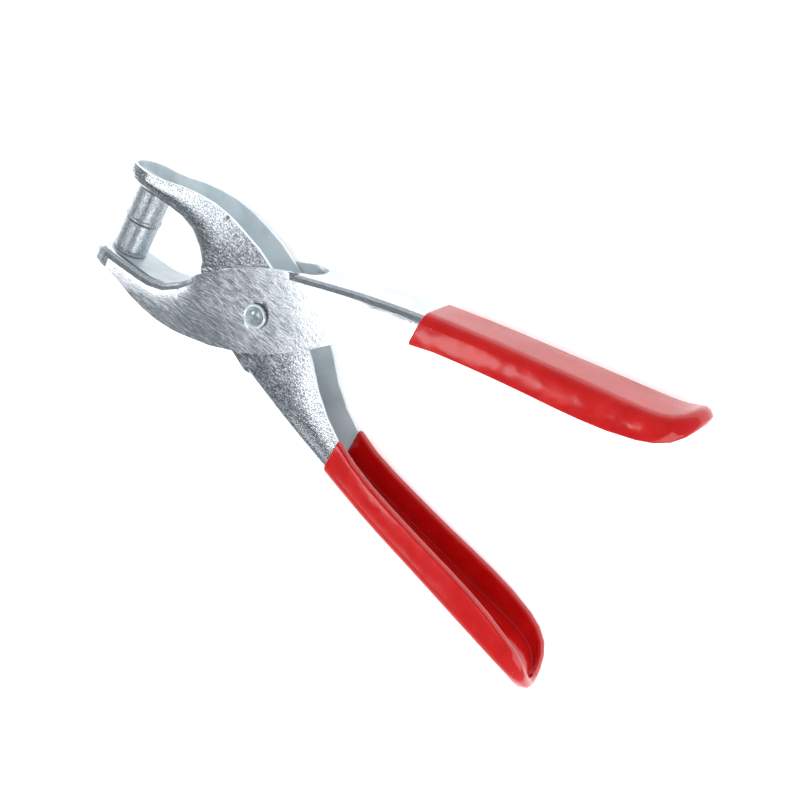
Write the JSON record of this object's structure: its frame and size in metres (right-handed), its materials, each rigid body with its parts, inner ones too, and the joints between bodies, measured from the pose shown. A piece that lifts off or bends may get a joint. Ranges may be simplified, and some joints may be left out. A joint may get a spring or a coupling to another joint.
{
  "type": "snap setter pliers",
  "caption": "Hand pliers that set prong-ring snap fasteners: two crossed steel channel arms with dipped grips, a spring, and a pair of dies that meet face to face.",
  "frame": {"origin": "middle of the bounding box with the tool squeezed shut; the pivot axis is at x = 30.25 mm and the dies meet at x = 79.25 mm, y = 0", "axes": "+X along the centre line, away from the handles; +Z along the pivot rivet towards its rolled end; the tool lies on its side"},
  "size_m": [0.1774, 0.0958, 0.023],
  "materials": {
    "zinc_plate": "bright zinc plate with a fine spangle",
    "die_steel": "plated, slightly mottled",
    "rivet_steel": "bright zinc plate",
    "spring_steel": "oiled spring wire",
    "red_vinyl": "glossy dipped vinyl",
    "nylon": "natural nylon"
  },
  "bodies": {
    "outer_side": {"outer_arm": "zinc_plate", "outer_arm_grip": "red_vinyl", "pivot_rivet": "rivet_steel", "torsion_spring": "spring_steel", "socket_die": "die_steel", "socket_die_screw": "rivet_steel"},
    "inner_side": {"inner_arm": "zinc_plate", "inner_arm_grip": "red_vinyl", "ring_die": "die_steel", "ring_die_screw": "rivet_steel", "ring_die_pad": "nylon"}
  },
  "joints": [
    {"name": "pivot", "type": "hinge", "parent": "outer_side", "child": "inner_side", "pos_m": [0.03025, 0, 0], "axis": [0, 0, -1], "range_deg": [0, 14], "stiffness_Nm_per_rad": 0.5, "springref_deg": 40.11, "deforming": ["torsion_spring"]}
  ]
}
